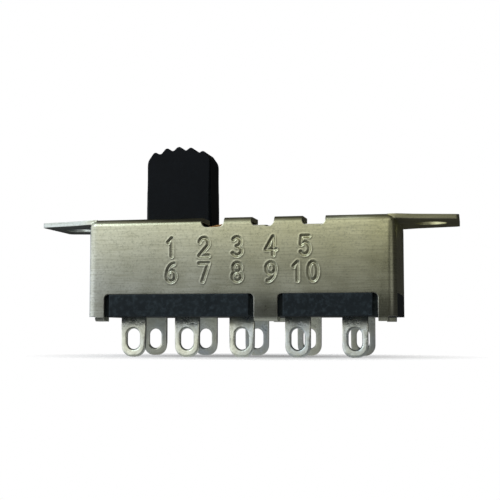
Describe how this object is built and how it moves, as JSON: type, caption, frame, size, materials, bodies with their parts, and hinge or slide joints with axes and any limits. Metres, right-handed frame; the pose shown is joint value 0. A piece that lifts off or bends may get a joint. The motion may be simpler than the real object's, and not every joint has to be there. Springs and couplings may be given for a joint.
{
  "type": "slide switch",
  "caption": "Panel-mount slide switch with a folded steel cover, screw ears, a ridged sliding knob with detents and two rows of solder lugs.",
  "frame": {"origin": "middle of the ten lug tips, on the surface that the switch stands on", "axes": "+X along the knob slot, +Z out of the knob, -Y towards the front side; at rest the knob is at its -X end"},
  "size_m": [0.0458, 0.013, 0.0233],
  "materials": {
    "plated_steel": "dull nickel plate",
    "base_moulding": "moulded, matt black",
    "slider_moulding": "moulded, satin black",
    "silver_plate": "bright silver plate on brass",
    "spring_bronze": "bright spring bronze",
    "contact_copper": "bright copper"
  },
  "bodies": {
    "housing": {"cover": "plated_steel", "base": "base_moulding", "terminal_front_1": "silver_plate", "terminal_front_2": "silver_plate", "terminal_front_3": "silver_plate", "terminal_front_4": "silver_plate", "terminal_front_5": "silver_plate", "terminal_back_1": "silver_plate", "terminal_back_2": "silver_plate", "terminal_back_3": "silver_plate", "terminal_back_4": "silver_plate", "terminal_back_5": "silver_plate"},
    "slider": {"slider": "slider_moulding", "detent_spring": "spring_bronze", "bridge_contact_front": "contact_copper", "bridge_contact_back": "contact_copper", "contact_spring_front": "spring_bronze", "contact_spring_back": "spring_bronze"}
  },
  "joints": [
    {"name": "slider_travel", "type": "slide", "parent": "housing", "child": "slider", "axis": [1, 0, 0], "range_m": [0, 0.0154], "deforming": ["detent_spring"]}
  ]
}
